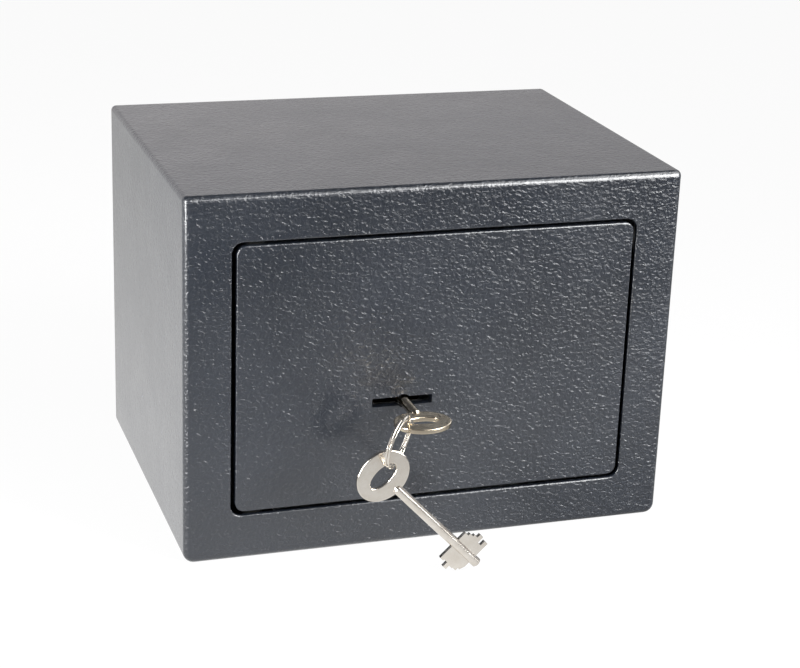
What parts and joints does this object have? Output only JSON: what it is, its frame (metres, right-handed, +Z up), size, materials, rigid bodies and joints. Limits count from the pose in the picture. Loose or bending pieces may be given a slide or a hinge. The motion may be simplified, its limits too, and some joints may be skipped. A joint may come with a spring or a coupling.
{
  "type": "key-operated steel safe",
  "caption": "Small steel safe with a hinged door, sliding locking bolts, a double-bitted key in its lock and a spare key on a split ring.",
  "frame": {"origin": "centre of the underside, on the surface the safe stands on", "axes": "+X to the right seen from the front, +Y from the door to the back, +Z up"},
  "size_m": [0.23, 0.2151, 0.17],
  "materials": {
    "cabinet_paint": "dark grey hammertone powder coat",
    "zinc_steel": "bright zinc plated, lightly brushed",
    "plated_bolt": "bright plated, turned",
    "nickel_key": "nickel plated, lightly tumbled",
    "spring_steel": "blued spring steel",
    "yellow_brass": "machined",
    "grey_felt": "needled felt"
  },
  "bodies": {
    "cabinet": {"cabinet_wrap": "cabinet_paint", "back_plate": "cabinet_paint", "floor_mat": "grey_felt", "hinge_bracket_upper": "zinc_steel", "hinge_bracket_lower": "zinc_steel"},
    "door": {"door_plate": "cabinet_paint", "door_pan": "cabinet_paint", "inner_cover": "cabinet_paint", "cover_screws": "zinc_steel", "hinge_lug_upper": "zinc_steel", "hinge_lug_lower": "zinc_steel", "hinge_pin_upper": "zinc_steel", "hinge_pin_lower": "zinc_steel", "hinge_bush_upper": "zinc_steel", "hinge_bush_lower": "zinc_steel", "lock_case": "zinc_steel", "lock_lid": "zinc_steel", "lock_screws": "zinc_steel", "guide_studs": "zinc_steel", "lever_post": "zinc_steel", "lever_sleeve": "zinc_steel"},
    "levers": {"lever_1": "yellow_brass", "lever_2": "yellow_brass", "lever_3": "yellow_brass", "lever_4": "yellow_brass", "lever_5": "yellow_brass", "lever_6": "yellow_brass", "lever_springs": "spring_steel"},
    "drive": {"drive_hub": "yellow_brass"},
    "bolts": {"bolt_carriage": "zinc_steel", "locking_bolt_lower": "plated_bolt", "locking_bolt_upper": "plated_bolt"},
    "key": {"key_in_lock": "nickel_key"},
    "ring": {"key_ring": "nickel_key"},
    "spare": {"spare_key": "nickel_key"}
  },
  "joints": [
    {"name": "door_hinge", "type": "hinge", "parent": "cabinet", "child": "door", "pos_m": [-0.0827, -0.0775, 0.085], "axis": [0, 0, -1], "range_deg": [0, 105]},
    {"name": "key_turn", "type": "hinge", "parent": "door", "child": "drive", "pos_m": [-0.0145, -0.085, 0.07], "axis": [0, 1, 0], "range_deg": [0, 180]},
    {"name": "bolt_throw", "type": "slide", "parent": "door", "child": "bolts", "axis": [1, 0, 0], "range_m": [0, 0.015]},
    {"name": "key_pull", "type": "slide", "parent": "drive", "child": "key", "axis": [0, -1, 0], "range_m": [0, 0.075]},
    {"name": "ring_swing", "type": "hinge", "parent": "key", "child": "ring", "pos_m": [-0.02796, -0.11978, 0.0656], "axis": [0.7552, -0.6222, -0.2061], "range_deg": [-6, 6]},
    {"name": "spare_swing", "type": "hinge", "parent": "ring", "child": "spare", "pos_m": [-0.02974, -0.1183, 0.05464], "axis": [0, 1, 0], "range_deg": [-4, 4]},
    {"name": "lever_lift", "type": "hinge", "parent": "door", "child": "levers", "pos_m": [-0.0435, -0.055, 0.07], "axis": [0, -1, 0], "range_deg": [0, 3], "stiffness_Nm_per_rad": 0.2, "springref_deg": -11.46}
  ],
  "couplings": [
    {"joint": "key_turn", "follows": "bolt_throw", "rad_per_m": 209.44}
  ]
}
